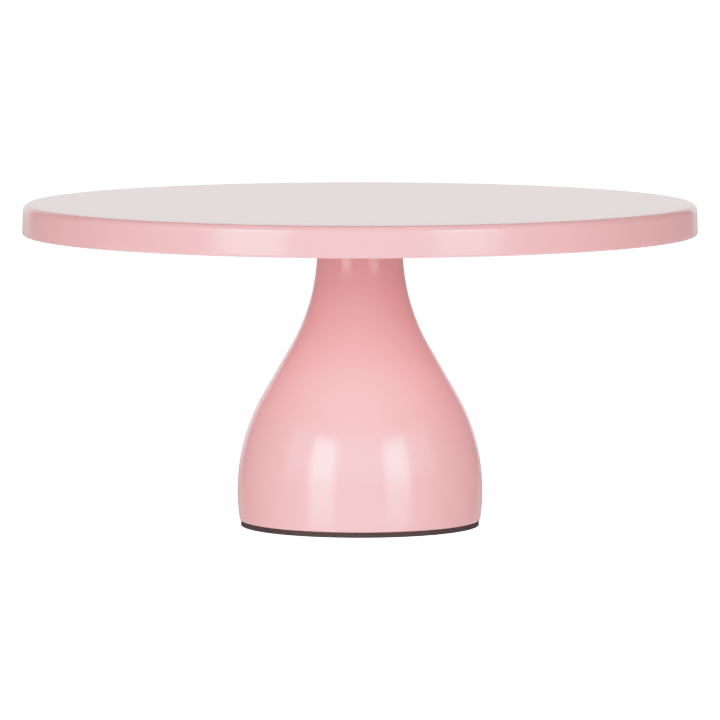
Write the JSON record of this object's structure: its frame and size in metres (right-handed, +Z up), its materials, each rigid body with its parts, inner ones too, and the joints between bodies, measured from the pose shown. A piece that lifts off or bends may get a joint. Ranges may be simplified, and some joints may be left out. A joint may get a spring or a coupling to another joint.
{
  "type": "pedestal cake stand",
  "caption": "Round painted steel plate with a turned-down rim, screwed onto a hollow bulb-shaped pedestal that stands on a thin pad. It lifts a cake above the table.",
  "frame": {"origin": "centre of the pad's underside, on the table", "axes": "+Z up along the pedestal's axis, towards the cake; X and Y are interchangeable"},
  "size_m": [0.3048, 0.3048, 0.146],
  "materials": {
    "pink_paint": "glossy pale pink powder coat on steel sheet",
    "zinc_plate": "bright zinc-plated steel",
    "nylon": "natural off-white nylon",
    "pad_rubber": "dark brown closed-cell foam rubber, matt"
  },
  "bodies": {
    "pedestal": {"pedestal_shell": "pink_paint", "neck_disc": "pink_paint", "neck_nut": "zinc_plate", "base_disc": "zinc_plate", "base_pad": "pad_rubber"},
    "washer": {"slip_washer": "nylon"},
    "top": {"plate": "pink_paint", "stiffener": "pink_paint", "plate_bolt": "zinc_plate"}
  },
  "joints": [
    {"name": "plate_turn", "type": "hinge", "parent": "pedestal", "child": "washer", "pos_m": [0, 0, 0.1384], "axis": [0, 0, 1], "range_deg": [0, 2700]},
    {"name": "plate_rise", "type": "slide", "parent": "washer", "child": "top", "axis": [0, 0, 1], "range_m": [0, 0.01125]}
  ],
  "couplings": [
    {"joint": "plate_rise", "follows": "plate_turn", "m_per_rad": 0.00023873}
  ]
}
